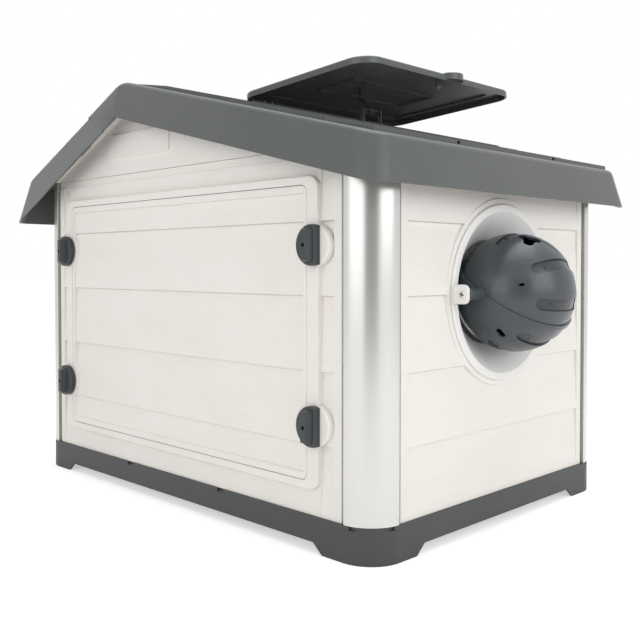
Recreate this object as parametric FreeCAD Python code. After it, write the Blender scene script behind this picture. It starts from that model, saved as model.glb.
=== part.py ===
import FreeCAD, Part
import math
import os

# A plastic dog house: a ground tray, four lap-board walls held by corner posts, a two-piece roof
# with a hatch, a lift-off front panel held by four turn buttons, and a treat ball in the right wall.
# Millimetres. X runs to the right along the front, Y to the back, Z up; Z = 0 is the ground.

V = FreeCAD.Vector

# ---- clearances ----
seat_gap = 0.3            # between two pieces that rest on each other
pin_clearance = 0.06      # radial, between a pin and its bore
turn_gap = 0.3            # under a part that turns on a face

# ---- body ----
body_width = 1000.0
body_depth = 691.0
wall_thickness = 12.0
wall_top = 640.0
post_radius = 57.0
post_wall = 5.0
post_flange = 4.0
post_proud = 4.0          # how far a post stands out past the walls
post_gap = 7.0            # groove between a wall and a post
post_groove = 7.0         # its depth below the wall's face

# ---- ground tray ----
base_height = 58.0
base_reach = 4.0          # how far the tray stands out past the walls
base_wall = 5.0
deck_thickness = 6.0
arch_height = 17.0        # height of the cut-outs between the feet
arch_slope = 20.0         # run of a cut-out's sloping end
foot_length_front = 103.0
foot_length_side = 100.0
base_rib = 5.0
base_rib_lift = 12.0
centre_pad_radius = 34.0
curb_height = 14.0        # upstand that locates the walls
curb_thickness = 5.0
notch_width = 17.0        # locating notches along the tray's upper edge
notch_height = 6.0
notch_depth = 5.5
notch_places_front = (-462.0, -149.0, 142.0, 462.0)
notch_places_side = (-307.0, 307.0)

# ---- floor panel ----
floor_thickness = 5.0
floor_groove_width = 6.0
floor_groove_depth = 1.5
floor_groove_pitch = 60.0

# ---- lap boards ----
lap_heights = (172.0, 288.2, 407.3, 524.5)
lap_lean = 5.0            # how far a board leans back at its top
board_end_margin = 16.0   # plain strip between the boards and the posts
plain_top_strip = 15.0    # set back strip along the top of a wall
strip_set_back = 1.5

# ---- front panel and the raised frame around it ----
beside_frame = 51.0       # wall between the frame and a post
frame_bottom = 100.0
frame_top = 596.0
frame_side = 23.0         # width of the frame at the sides
frame_level = 13.6        # width of the frame at the top and bottom
frame_corner = 20.0
frame_proud = 9.0         # how far the frame stands in front of the wall
frame_edge = 2.0
panel_gap = 1.0           # between the frame and the panel
panel_corner = 12.0
panel_edge = 1.0
ledge_overlap = 15.0      # how far the panel's rim laps over the wall
plug_clearance = 0.6
plug_depth = 12.0
door_skin = 4.0
border_side = 8.0         # plain border around the panel's boards
border_level = 12.0
field_depth = 3.0
door_rib = 4.0
door_rib_count = 3
liner_thickness = 3.0

# ---- turn buttons ----
button_radius = 32.5
button_inset = 5.0        # from the frame's outer edge in to a seat's centre
button_flat = 12.0        # from that centre out to the button's straight edge
button_heights = (203.2, 486.7)
pivot_inset = 15.0        # from the button's straight edge to its pivot
button_thickness = 11.0
button_edge = 3.5
grip_length = 54.0
grip_width = 18.0
grip_top_width = 11.0
grip_height = 12.0
grip_edge = 1.5
grip_hole_radius = 3.4
pivot_radius = 2.5
pivot_depth = 6.5
pivot_length_in_grip = 15.0
seat_rise = 1.0           # a seat stands this much in front of the frame
seat_edge = 4.5
seat_notch_gap = 0.7      # between a seat and the notch in the panel's edge

# ---- gables ----
gable_reach = 3.0         # how far a gable reaches past the flat of the wall
gable_gap = 0.8           # between a gable and the wall below
gable_drop = 38.0         # from the roof's upper face down to the gable's edge
ledge_thickness = 4.0
ledge_reach = 12.0
plate_left = -222.0
plate_right = -14.0
plate_bottom = 674.0
plate_top = 722.0
plate_proud = 3.0
plate_corner = 4.0

# ---- roof ----
ridge_x = -130.0
eave_rise = 6.0           # from the walls' top up to the shoulder
roof_rise = 171.0         # from the shoulder up to the ridge
eave_overhang = 31.0      # from a side wall out to the shoulder
left_eave_extra = 12.0    # how much further out the left shoulder lies
verge_overhang = 34.0     # from the front or rear wall out to the shoulder
fascia_flare = 16.0       # how much further out the lower edge stands
fascia_width = 70.0       # square to the slope
left_fascia_extra = 12.0  # the left one hangs this much lower at the eave
roof_thickness = 4.0
ridge_round = 78.0
corner_round = 48.0
seam_x = -250.0           # where the ridge piece ends on the left slope
seam_run = 80.0           # run of the seam's slanted end in the fascia
seam_fall = 24.0          # its angle below level
seam_gap = 1.5
seam_step = 2.0           # the ridge piece stands this much outside the left piece
lap_width = 26.0
lap_hold = 12.0           # where the lap is joined under the left piece
lap_thickness = 4.0
rib_thickness = 6.0
tile_steps = (-7.0, 97.0, 201.0, 305.0, 412.0, 512.0)
tile_pitch = 104.0
tile_rise = 7.0
tile_end_inset = 22.0
tile_gap = 6.0            # plain strip before each row
step_hole_y = 150.0       # two small holes in the lowest right row's step
step_hole_width = 8.5
step_hole_height = 4.4
step_hole_depth = 8.0
left_tile_count = 3
left_row_inset = 15.0     # last row's step to the left shoulder
roof_screw_radius = 2.0
roof_screw_head = 4.5
roof_screw_head_height = 2.4
roof_screw_length = 10.0
roof_screw_rows = (-250.0, 0.0, 250.0)

# ---- hatch ----
hinge_u = 184.0           # from the ridge line down the right slope
hinge_n = 7.0             # above the slope
lid_length = 330.0
lid_half_width = 228.0
lid_back = 2.0            # lid material behind the hinge line
lid_top_n = 16.5
lid_skirt_n = 4.0
lid_plate = 4.0
lid_skirt = 3.5
lid_corner = 42.0
lid_edge_round = 4.0
lid_open_angle = 18.5
field_rise = 3.0
field_margin = 34.0
field_corner = 20.0
field_inner = 3.0         # the recess under the raised field is this much smaller
curb_margin = 7.0         # lid edge to the roof curb
curb_gap = 4.0            # between the knuckles and the curb
level_behind = 24.0       # plain roof behind the hinge line
level_margin = 14.0       # plain roof around the curb
hatch_curb_height = 9.0
hatch_curb_thickness = 4.0
hinge_y = 150.0
knuckle_radius = 5.0
knuckle_length = 12.0
lug_radius = 4.0
lug_thickness = 6.0
hinge_pin_radius = 2.0
finger_tab_radius = 28.0
finger_tab_reach = 15.0
finger_tab_y = 20.0       # behind the middle of the lid
finger_tab_low = 6.0
finger_tab_thickness = 12.0
snap_tab_width = 12.0
snap_tab_length = 19.0
snap_tab_thickness = 3.0
snap_tab_inset = 24.0
frame_start = 117.0       # frame on the lid's underside, from the hinge line
frame_length = 96.0
frame_y_low = -129.0
frame_y_high = 112.0
frame_wall = 3.0
frame_depth = 3.0

# ---- lid stay ----
stay_u = 150.0            # from the hinge line
stay_drop = 6.5           # below the lid's plate
stay_y = -50.0
stay_pin_radius = 2.0
stay_ear_thickness = 3.0
stay_ear_radius = 5.0
link_angle = 43.0         # below level, as the lid stands open
link_length = 47.0
link_width = 12.0
link_thickness = 4.0
link_slot = 5.0
link_eye_wall = 2.2
fork_span = 54.0
fork_height = 74.0
fork_bar_radius = 2.4
fork_leg_width = 9.0
fork_leg_thickness = 4.0
fork_slot = 4.5
fork_foot_height = 8.0

# ---- feeder ----
feeder_z = 408.0
ring_outer = 155.0
mouth_radius = 140.0
ring_proud = 5.0
ring_edge = 2.0
ring_margin = 9.0         # flat wall around the ring
sleeve_radius = 144.0
sleeve_clearance = 0.5
throat_radius = 92.0
throat_depth = 38.0       # wall's outer face to the throat
funnel_wall = 3.0
throat_lip = 8.0
ball_radius = 103.0
ball_shell = 4.5
ball_proud = 24.0         # ball centre in front of the wall
seam_angle = 33.0         # tilt of the joint between the two shells
seam_rim_reach = 3.0
seam_rim_height = 3.5
shell_gap = 0.3
axle_radius = 4.0
hub_radius = 10.0
hub_end = 145.0
hub_edge = 3.0
lug_y_low = 149.0
lug_y_high = 156.0
lug_reach = 10.0          # from the axle out to the lug's end
lug_half_height = 15.8
lug_corner = 9.0
lug_edge = 1.5
screw_head_radius = 8.0
screw_head_height = 3.0
screw_reach = 24.0        # length of screw inside the hub
cross_width = 2.4
cross_length = 9.0
cross_depth = 1.8
cross_turn = 20.0
quarter_turn = 90.0
slot_angles = (22.0, 62.0, 118.0, 158.0)
slot_half_latitude = 38.0
slot_width = 20.0
slot_depth = 3.2
wedge_size = 13.0         # three-sided point near one end of each slot
wedge_latitude = -22.0
lobe_angle = 98.0
lobe_latitude = -13.0
lobe_radius = 9.0
lobe_offset = 12.0
small_slots = ((47.0, -51.0, 9.0, 4.5), (154.0, -44.0, 6.0, 4.0))
treat_slot = (-39.0, -48.0, 20.0, 10.0)
hub_root = 9.0            # how far a hub reaches in through the shell

# ---- entrance in the rear wall ----
entrance_width = 300.0
entrance_bottom = 96.0
entrance_top = 470.0
entrance_frame = 18.0
entrance_frame_proud = 6.0

# ---- worked out from the sizes above ----
half_width = body_width / 2
half_depth = body_depth / 2
flat_half_width = half_width - post_radius
flat_half_depth = half_depth - post_radius
wall_reach_x = flat_half_width - post_gap
wall_reach_y = flat_half_depth - post_gap
wall_bottom = base_height + seat_gap
gable_half_width = flat_half_width + gable_reach
eave_half_width = half_width + eave_overhang
roof_half_depth = half_depth + verge_overhang
shoulder_z = wall_top + eave_rise
ridge_z = shoulder_z + roof_rise
right_slope = math.atan2(roof_rise, eave_half_width - ridge_x)
left_slope = math.atan2(roof_rise, eave_half_width + ridge_x)
fascia_lean = fascia_flare / fascia_width
frame_half_width = flat_half_width - beside_frame
panel_half_width = frame_half_width - frame_side - panel_gap
panel_bottom = frame_bottom + frame_level + panel_gap
panel_top = frame_top - frame_level - panel_gap
plug_corner = panel_corner - 4.0
button_centre = frame_half_width - button_inset
button_straight = button_centre + button_flat
pivot_x = button_straight - pivot_inset
seat_depth = frame_proud + seat_rise
button_face = half_depth + seat_depth + turn_gap
ball_x = half_width + ball_proud
curb_u0 = hinge_u + knuckle_radius + curb_gap
curb_u1 = hinge_u + lid_length - curb_margin
curb_y = lid_half_width - curb_margin
lid_under = lid_top_n - lid_plate


def box(x0, x1, y0, y1, z0, z1):
    return Part.makeBox(x1 - x0, y1 - y0, z1 - z0, V(x0, y0, z0))


def polygon_prism(points, direction):
    wire = Part.makePolygon(points + [points[0]])
    return Part.Face(wire).extrude(direction)


def prism_y(outline, y0, y1):
    return polygon_prism([V(x, y0, z) for x, z in outline], V(0, y1 - y0, 0))


def prism_x(outline, x0, x1):
    return polygon_prism([V(x0, y, z) for y, z in outline], V(x1 - x0, 0, 0))


def rounded_prism(x0, x1, y0, y1, z0, z1, radius):
    body = box(x0, x1, y0, y1, z0, z1)
    uprights = [e for e in body.Edges if abs(e.tangentAt(e.FirstParameter).z) > 0.99]
    return body.makeFillet(radius, uprights)


def rounded_slab_y(x0, x1, z0, z1, y0, y1, radius):
    body = box(x0, x1, y0, y1, z0, z1)
    edges = [e for e in body.Edges if abs(e.tangentAt(e.FirstParameter).y) > 0.99]
    return body.makeFillet(radius, edges)


def cylinder_y(radius, y0, y1, x, z):
    return Part.makeCylinder(radius, y1 - y0, V(x, y0, z), V(0, 1, 0))


def mirrored_x(shape):
    return shape.mirror(V(0, 0, 0), V(1, 0, 0))


def mirrored_y(shape):
    return shape.mirror(V(0, 0, 0), V(0, 1, 0))


def save(name, shape):
    shape = shape.removeSplitter()
    shape.exportStep("parts/" + name + ".step")
    print(name, len(shape.Solids), "solid(s)", round(shape.Volume / 1000), "cm3")


def roof_top(x):
    """Height of the roof's upper plane at x."""
    slope = right_slope if x > ridge_x else left_slope
    return ridge_z - abs(x - ridge_x) * math.tan(slope)


# ---------------------------------------------------------------- ground tray and floor

def base_tray():
    wide = half_width + base_reach
    deep = half_depth + base_reach
    corner = post_radius + base_reach
    body = rounded_prism(-wide, wide, -deep, deep, 0, base_height, corner)
    hollow = rounded_prism(base_wall - wide, wide - base_wall, base_wall - deep, deep - base_wall,
                           -1, base_height - deck_thickness, corner - base_wall)
    body = body.cut(hollow)
    cut_x = half_width - foot_length_front
    cut_y = half_depth - foot_length_side
    front_cut = prism_y([(-cut_x, -1), (cut_x, -1), (cut_x, 0), (cut_x - arch_slope, arch_height),
                         (arch_slope - cut_x, arch_height), (-cut_x, 0)], -deep - 1, deep + 1)
    side_cut = prism_x([(-cut_y, -1), (cut_y, -1), (cut_y, 0), (cut_y - arch_slope, arch_height),
                        (arch_slope - cut_y, arch_height), (-cut_y, 0)], -wide - 1, wide + 1)
    body = body.cut(front_cut).cut(side_cut)
    under_deck = base_height - deck_thickness
    ribs = [box(x - base_rib / 2, x + base_rib / 2, base_wall - deep, deep - base_wall,
                base_rib_lift + arch_height, under_deck) for x in (-half_width / 2, 0, half_width / 2)]
    ribs.append(box(base_wall - wide, wide - base_wall, -base_rib / 2, base_rib / 2,
                    base_rib_lift + arch_height, under_deck))
    ribs.append(Part.makeCylinder(centre_pad_radius, under_deck))
    curb_x = half_width - wall_thickness - seat_gap
    curb_y = half_depth - wall_thickness - seat_gap
    curb_corner = corner - base_reach - wall_thickness
    upstand = rounded_prism(-curb_x, curb_x, -curb_y, curb_y, base_height, base_height + curb_height,
                            curb_corner)
    inside = rounded_prism(curb_thickness - curb_x, curb_x - curb_thickness, curb_thickness - curb_y,
                           curb_y - curb_thickness, base_height - 1, base_height + curb_height + 1,
                           curb_corner - curb_thickness)
    ribs.append(upstand.cut(inside))
    body = body.fuse(ribs)
    low, half = base_height - notch_height, notch_width / 2
    for side in (-1, 1):
        y0, y1 = sorted((side * (deep - notch_depth), side * (deep + 1)))
        for x in notch_places_front:
            body = body.cut(box(x - half, x + half, y0, y1, low, base_height + 1))
        x0, x1 = sorted((side * (wide - notch_depth), side * (wide + 1)))
        for y in notch_places_side:
            body = body.cut(box(x0, x1, y - half, y + half, low, base_height + 1))
    return body


def floor_panel():
    reach_x = half_width - wall_thickness - curb_thickness - 2 * seat_gap
    reach_y = half_depth - wall_thickness - curb_thickness - 2 * seat_gap
    corner = post_radius - wall_thickness - curb_thickness
    bottom = base_height + seat_gap
    body = rounded_prism(-reach_x, reach_x, -reach_y, reach_y, bottom, bottom + floor_thickness, corner)
    grooves = []
    count = int((reach_y - floor_groove_pitch) // floor_groove_pitch)
    for k in range(-count, count + 1):
        y = k * floor_groove_pitch
        grooves.append(box(corner - reach_x, reach_x - corner, y - floor_groove_width / 2,
                           y + floor_groove_width / 2, bottom + floor_thickness - floor_groove_depth,
                           bottom + floor_thickness + 1))
    return body.cut(grooves)


# ---------------------------------------------------------------- posts and walls

def corner_post():
    """The rear right post: a quarter-round shell with a flange along each wall's edge."""
    cx, cy = flat_half_width, flat_half_depth
    outer = post_radius + post_proud
    inner = outer - post_wall
    joint = post_proud - post_wall / 2
    height = wall_top - wall_bottom
    block = Part.makeCylinder(outer, height, V(cx, cy, wall_bottom))
    core = Part.makeCylinder(inner, height, V(cx, cy, wall_bottom))
    quarter = box(cx, cx + outer + 1, cy, cy + outer + 1, wall_bottom, wall_top)
    shell = block.common(quarter).cut(core)
    flange_x = box(cx, cx + post_flange, half_depth - wall_thickness, half_depth + joint,
                   wall_bottom, wall_top)
    flange_y = box(half_width - wall_thickness, half_width + joint, cy, cy + post_flange,
                   wall_bottom, wall_top)
    start = post_gap - seat_gap
    web_x = box(cx - start, cx + post_flange, half_depth - wall_thickness, half_depth - post_groove,
                wall_bottom, wall_top)
    web_y = box(half_width - wall_thickness, half_width - post_groove, cy - start, cy + post_flange,
                wall_bottom, wall_top)
    return shell.fuse([flange_x.common(block), flange_y.common(block), web_x, web_y])


def board_wedges(side_low, side_high, top, face, along_x):
    """Wedges that leave lap boards on a wall whose outer face lies at `face` (signed)."""
    inward = -1 if face > 0 else 1
    levels = (wall_bottom,) + lap_heights + (top,)
    wedges = []
    for low, high in zip(levels, levels[1:]):
        outline = [(face - inward, low), (face, low), (face + inward * lap_lean, high),
                   (face - inward, high)]
        if along_x:
            wedges.append(prism_x(outline, side_low, side_high))
        else:
            wedges.append(prism_y(outline, side_low, side_high))
    return wedges


def button_seat(x_sign, z):
    """Round boss on the frame that a turn button sits on."""
    face = -half_depth - seat_depth
    boss = cylinder_y(button_radius, face, 1 - half_depth, button_centre, z)
    rim = [e for e in boss.Edges if e.BoundBox.YMax < face + 0.01]
    boss = boss.makeFillet(seat_edge, rim)
    boss = boss.cut(cylinder_y(pivot_radius + pin_clearance, face - 1, face + pivot_depth, pivot_x, z))
    return boss if x_sign > 0 else mirrored_x(boss)


def raised_frame():
    """Frame around the panel, without the opening."""
    face = -half_depth - frame_proud
    body = rounded_slab_y(-frame_half_width, frame_half_width, frame_bottom, frame_top, face,
                          1 - half_depth, frame_corner)
    return body.makeFillet(frame_edge, [e for e in body.Edges if e.BoundBox.YMax < face + 0.01])


def front_wall():
    wall = box(-wall_reach_x, wall_reach_x, -half_depth, wall_thickness - half_depth, wall_bottom, wall_top)
    board_end = wall_reach_x - board_end_margin
    top = wall_top - plain_top_strip
    for low, high in ((-board_end, -frame_half_width), (frame_half_width, board_end)):
        wall = wall.cut(board_wedges(low, high, top, -half_depth, True))
    strip = box(-wall_reach_x, wall_reach_x, -half_depth - 1, strip_set_back - half_depth, top, wall_top + 1)
    clear = panel_half_width + panel_gap
    rebate = rounded_slab_y(-clear, clear, panel_bottom - panel_gap, panel_top + panel_gap,
                            -half_depth - seat_depth - 1, -half_depth, panel_corner + panel_gap)
    inner = panel_half_width - ledge_overlap
    opening = rounded_slab_y(-inner, inner, panel_bottom + ledge_overlap, panel_top - ledge_overlap,
                             -half_depth - seat_depth - 1, wall_thickness - half_depth + 1, plug_corner)
    wall = wall.cut(strip).fuse(raised_frame()).cut([rebate, opening])
    seats = [(s, z) for s in (-1, 1) for z in button_heights]
    bores = [cylinder_y(pivot_radius + pin_clearance, -half_depth - seat_depth - 1,
                        pivot_depth - half_depth - seat_depth, s * pivot_x, z) for s, z in seats]
    return wall.fuse([button_seat(s, z) for s, z in seats]).cut(bores)


def arch_outline(width, bottom, top, y0, y1):
    radius = width / 2
    return box(-radius, radius, y0, y1, bottom, top - radius).fuse(
        cylinder_y(radius, y0, y1, 0, top - radius))


def rear_wall():
    reach = wall_reach_x
    wall = box(-reach, reach, half_depth - wall_thickness, half_depth, wall_bottom, wall_top)
    board_end = reach - board_end_margin
    wall = wall.cut(board_wedges(-board_end, board_end, wall_top - plain_top_strip, half_depth, True))
    frame = arch_outline(entrance_width + 2 * entrance_frame, entrance_bottom - entrance_frame,
                         entrance_top + entrance_frame, half_depth - wall_thickness,
                         half_depth + entrance_frame_proud)
    hole = arch_outline(entrance_width, entrance_bottom, entrance_top, half_depth - wall_thickness - 1,
                        half_depth + entrance_frame_proud + 1)
    return wall.fuse(frame).cut(hole)


def side_wall(sign):
    reach = wall_reach_y
    slope = right_slope if sign > 0 else left_slope
    skin = roof_thickness if sign > 0 else roof_thickness + seam_step
    top = roof_top(sign * half_width) - skin / math.cos(slope) - seat_gap
    x0, x1 = sorted((sign * (half_width - wall_thickness), sign * half_width))
    wall = box(x0, x1, -reach, reach, wall_bottom, top)
    board_end = reach - board_end_margin
    wedges = board_wedges(-board_end, board_end, wall_top - plain_top_strip, sign * half_width, False)
    if sign > 0:
        keep = Part.makeCylinder(ring_outer + ring_margin, 4 * wall_thickness,
                                 V(x0 - wall_thickness, 0, feeder_z), V(1, 0, 0))
        wedges = [w.cut(keep) for w in wedges]
    wall = wall.cut(wedges)
    if sign > 0:
        wall = wall.cut(Part.makeCylinder(sleeve_radius + sleeve_clearance, 4 * wall_thickness,
                                          V(x0 - wall_thickness, 0, feeder_z), V(1, 0, 0)))
    return wall


def gable_edge(x):
    """Height of the gable's upper edge, where the roof's ribs sit."""
    return roof_top(x) - gable_drop


def gable_panel():
    """Front gable, with its ledge under the roof and a bare raised plate."""
    bottom = wall_top + gable_gap
    rise = ridge_z - gable_drop - bottom - ledge_thickness
    left = max(-gable_half_width, ridge_x - rise / math.tan(left_slope))
    right = min(gable_half_width, ridge_x + rise / math.tan(right_slope))
    outline = [(left, bottom), (right, bottom), (right, gable_edge(right)), (ridge_x, ridge_z - gable_drop),
               (left, gable_edge(left))]
    back = wall_thickness - half_depth
    panel = prism_y(outline, -half_depth, back)
    ledge = [(left, gable_edge(left) - ledge_thickness), (ridge_x, ridge_z - gable_drop - ledge_thickness),
             (right, gable_edge(right) - ledge_thickness), (right, gable_edge(right)),
             (ridge_x, ridge_z - gable_drop), (left, gable_edge(left))]
    above = box(left - 1, right + 1, -half_depth - ledge_reach - 1, back + 1, bottom, ridge_z)
    panel = panel.fuse(prism_y(ledge, -half_depth - ledge_reach, back).common(above))
    plate = rounded_slab_y(plate_left, plate_right, plate_bottom, plate_top, -half_depth - plate_proud,
                           back, plate_corner)
    return panel.fuse(plate)


# ---------------------------------------------------------------- front panel and its buttons

def door_panel():
    face = -half_depth - frame_proud
    seats = [(s * button_centre, z) for s in (-1, 1) for z in button_heights]
    rim = rounded_slab_y(-panel_half_width, panel_half_width, panel_bottom, panel_top, face,
                         -half_depth - seat_gap, panel_corner)
    rim = rim.makeFillet(panel_edge, [e for e in rim.Edges if e.BoundBox.YMax < face + 0.01])
    inner = panel_half_width - ledge_overlap - plug_clearance
    low = panel_bottom + ledge_overlap + plug_clearance
    high = panel_top - ledge_overlap - plug_clearance
    plug_back = plug_depth - half_depth
    plug = rounded_slab_y(-inner, inner, low, high, face + door_skin, plug_back, plug_corner)
    body = rim.fuse(plug)
    field_half = panel_half_width - border_side
    field_low, field_high = panel_bottom + border_level, panel_top - border_level
    step = face + field_depth
    field = [box(-field_half, field_half, face - 1, step, field_low, field_high)]
    levels = (field_low,) + lap_heights + (field_high,)
    for bottom, top in zip(levels, levels[1:]):
        lean = lap_lean * (top - bottom) / (lap_heights[1] - lap_heights[0])
        wedge = [(step - 1, bottom), (step, bottom), (step + min(lean, lap_lean), top), (step - 1, top)]
        field.append(prism_x(wedge, -field_half, field_half))
    notch_radius = button_radius + seat_notch_gap
    lips = [cylinder_y(notch_radius + border_side, face - 2, plug_back, x, z) for x, z in seats]
    body = body.cut([f.cut(lips) for f in field])
    skin_back = step + lap_lean + door_skin
    pocket_half = inner - door_rib
    pocket = box(-pocket_half, pocket_half, skin_back, plug_back + 1, low + door_rib, high - door_rib)
    pitch = 2 * pocket_half / (door_rib_count + 1)
    ribs = [box(k * pitch - pocket_half - door_rib / 2, k * pitch - pocket_half + door_rib / 2,
                skin_back - 1, plug_back, low, high) for k in range(1, door_rib_count + 1)]
    body = body.cut(pocket.cut(ribs))
    return body.cut([cylinder_y(notch_radius, face - 1, 1 - half_depth, x, z) for x, z in seats])


def door_liner():
    inner = panel_half_width - ledge_overlap - plug_clearance
    low = panel_bottom + ledge_overlap + plug_clearance
    high = panel_top - ledge_overlap - plug_clearance
    front = plug_depth - half_depth + seat_gap
    return rounded_slab_y(-inner, inner, low, high, front, front + liner_thickness, plug_corner)


def turn_button(x_sign, z):
    """D-shaped button; in the pose shown its round side faces the panel and leaves it free."""
    front = -button_face - button_thickness
    disc = cylinder_y(button_radius, front, -button_face, button_centre, z)
    disc = disc.cut(box(button_straight, button_centre + button_radius + 1, front - 1, 1 - button_face,
                        z - button_radius - 1, z + button_radius + 1))
    disc = disc.makeFillet(button_edge, [e for e in disc.Edges if e.BoundBox.YMax < front + 0.01])
    grip_front = front - grip_height
    half, half_top, reach = grip_width / 2, grip_top_width / 2, grip_length / 2
    x = pivot_x
    taper = half - half_top
    side = polygon_prism([V(x - half, front + 1, z - reach), V(x + half, front + 1, z - reach),
                          V(x + half_top, grip_front, z - reach), V(x - half_top, grip_front, z - reach)],
                         V(0, 0, grip_length))
    end = prism_x([(front + 1, z - reach), (front + 1, z + reach), (grip_front, z + reach - taper),
                   (grip_front, z - reach + taper)], x - half, x + half)
    outline = rounded_slab_y(x - half - 1, x + half + 1, z - reach - 1, z + reach + 1,
                             grip_front - 1, front + 2, half)
    ridge = side.common(end).common(outline)
    ridge = ridge.makeFillet(grip_edge, [e for e in ridge.Edges if e.BoundBox.YMax < grip_front + 0.01])
    button = disc.fuse(ridge)
    button = button.cut(cylinder_y(pivot_radius + pin_clearance, grip_front - 1, 1 - button_face, x, z))
    hole_end = -button_face - pivot_length_in_grip
    button = button.cut(cylinder_y(grip_hole_radius, grip_front - 1, hole_end, x, z))
    return button if x_sign > 0 else mirrored_x(button)


def button_pins():
    start = -half_depth - seat_depth + pivot_depth
    end = -button_face - pivot_length_in_grip
    return Part.makeCompound([cylinder_y(pivot_radius, end, start, s * pivot_x, z)
                              for s in (-1, 1) for z in button_heights])


# ---------------------------------------------------------------- roof

def slope_sheath(inset, sign):
    """Tall block over one slope, between its flared front and rear faces."""
    slope = right_slope if sign > 0 else left_slope
    lean = fascia_lean
    low_z, high_z = -4 * fascia_width, fascia_width
    half = roof_half_depth - inset
    low_y, high_y = half - lean * low_z, half - lean * high_z
    section = [V(ridge_x, -low_y, ridge_z + low_z), V(ridge_x, low_y, ridge_z + low_z),
               V(ridge_x, high_y, ridge_z + high_z), V(ridge_x, -high_y, ridge_z + high_z)]
    run = 2 * eave_half_width
    return polygon_prism(section, V(sign * run, 0, -run * math.tan(slope)))


def roof_apex(inset):
    """Where the two slopes meet, `inset` square below the roof's upper faces."""
    right_drop, left_drop = inset / math.cos(right_slope), inset / math.cos(left_slope)
    shift = (left_drop - right_drop) / (math.tan(right_slope) + math.tan(left_slope))
    return ridge_x + shift, ridge_z - right_drop - shift * math.tan(right_slope)


def roof_profile(inset):
    """Outline of the roof across the ridge; a lowered underside when it cuts the inside out."""
    far = eave_half_width + 4 * fascia_flare
    lower = fascia_width + (3 * roof_thickness if inset > 0 else 0)
    eave = eave_half_width
    left_eave = -eave - left_eave_extra
    low_right = roof_top(eave) - lower / math.cos(right_slope)
    low_left = roof_top(left_eave) - lower / math.cos(left_slope) - left_fascia_extra
    return [(far, low_right), (far, roof_top(far) - inset / math.cos(right_slope)), roof_apex(inset),
            (-far, roof_top(-far) - inset / math.cos(left_slope)), (-far, low_left), (left_eave, low_left),
            roof_apex(lower), (eave, low_right)]


def roof_block(inset):
    """The roof as a solid, `inset` inside its outer faces."""
    sheath = slope_sheath(inset, 1).fuse(slope_sheath(inset, -1))
    lean = fascia_lean
    low, high = -2 * fascia_width, 4 * fascia_width
    right = eave_half_width - inset
    left = right + left_eave_extra
    deep = roof_half_depth + 6 * fascia_flare
    eaves = prism_y([(lean * low - left, shoulder_z + low), (right - lean * low, shoulder_z + low),
                     (right - lean * high, shoulder_z + high), (lean * high - left, shoulder_z + high)],
                    -deep, deep)
    body = sheath.common(eaves).removeSplitter()
    corners = [e for e in body.Edges if e.BoundBox.ZLength > 3 * fascia_width
               and e.BoundBox.XLength < eave_half_width / 2 and abs(e.CenterOfMass.x) > 0.6 * eave_half_width]
    body = body.makeFillet(corner_round - inset, corners)
    body = body.common(prism_y(roof_profile(inset), -deep, deep)).removeSplitter()
    ridge = [e for e in body.Edges if abs(e.CenterOfMass.x - ridge_x) < 2 and e.BoundBox.XLength < 0.1
             and e.BoundBox.YLength > roof_half_depth and e.CenterOfMass.z > ridge_z - fascia_width / 2]
    return body.makeFillet(ridge_round - inset, ridge)


def ridge_piece_region(shift):
    """Where the roof belongs to the ridge piece; its edge slants across the fascia on the left."""
    far = eave_half_width + 2 * fascia_flare
    x = seam_x - shift
    high = ridge_z + fascia_flare
    start = roof_top(seam_x) - 1.3 * roof_thickness
    end = start - seam_run * math.tan(math.radians(seam_fall))
    deep = roof_half_depth + 2 * fascia_flare
    return prism_y([(x, high), (far, high), (far, 0), (x + seam_run, 0), (x + seam_run, end), (x, start)],
                   -deep, deep)


def rib_outline(low_x, high_x):
    """Rib under the roof from the skin down to the gable's edge or the wall's top."""
    inside = roof_thickness + seam_step - 1
    floor = wall_top + seat_gap
    xs = [low_x, high_x]
    right_meet = ridge_x + (ridge_z - gable_drop + seat_gap - floor) / math.tan(right_slope)
    left_meet = ridge_x - (ridge_z - gable_drop + seat_gap - floor) / math.tan(left_slope)
    for x in (ridge_x, right_meet, left_meet):
        if low_x < x < high_x:
            xs.append(x)
    xs.sort()
    lower = [(x, max(gable_edge(x) + seat_gap, floor)) for x in xs]
    upper = [(x, roof_top(x) - inside) for x in xs]
    return lower + upper[::-1]


def in_slope(shape):
    """From slope coordinates (u down the right slope, y, n above it) to the house's frame."""
    placed = shape.copy()
    placed.rotate(V(0, 0, 0), V(0, 1, 0), math.degrees(right_slope))
    placed.translate(V(ridge_x, 0, ridge_z))
    return placed


def tile_row(step_x, pitch, slope, sink):
    """Low wedge that rises towards the eave and ends in a step, `sink` below the roof's upper plane."""
    reach = roof_half_depth - tile_end_inset
    outward = 1 if step_x > ridge_x else -1
    start_x = step_x - outward * (pitch - tile_gap)
    drop, rise = sink / math.cos(slope), (tile_rise - sink) / math.cos(slope)
    outline = [(start_x, roof_top(start_x) - drop - 1), (start_x, roof_top(start_x) - drop),
               (step_x, roof_top(step_x) + rise), (step_x, roof_top(step_x) - drop - 1)]
    return prism_y(outline, -reach, reach)


def step_holes():
    """Small holes in the lowest right row's step."""
    x = tile_steps[-1]
    low = roof_top(x) + (tile_rise - step_hole_height) / 2
    half = step_hole_width / 2
    return [box(x - step_hole_depth, x + 1, y - half, y + half, low, low + step_hole_height)
            for y in (-step_hole_y, step_hole_y)]


def hatch_curb():
    return rounded_prism(curb_u0, curb_u1, -curb_y, curb_y, -roof_thickness / 2, hatch_curb_height,
                         lid_corner - curb_margin)


def hatch_hole():
    t = hatch_curb_thickness
    return rounded_prism(curb_u0 + t, curb_u1 - t, t - curb_y, curb_y - t, -4 * tile_rise,
                         hatch_curb_height + 1, lid_corner - curb_margin - t)


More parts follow.
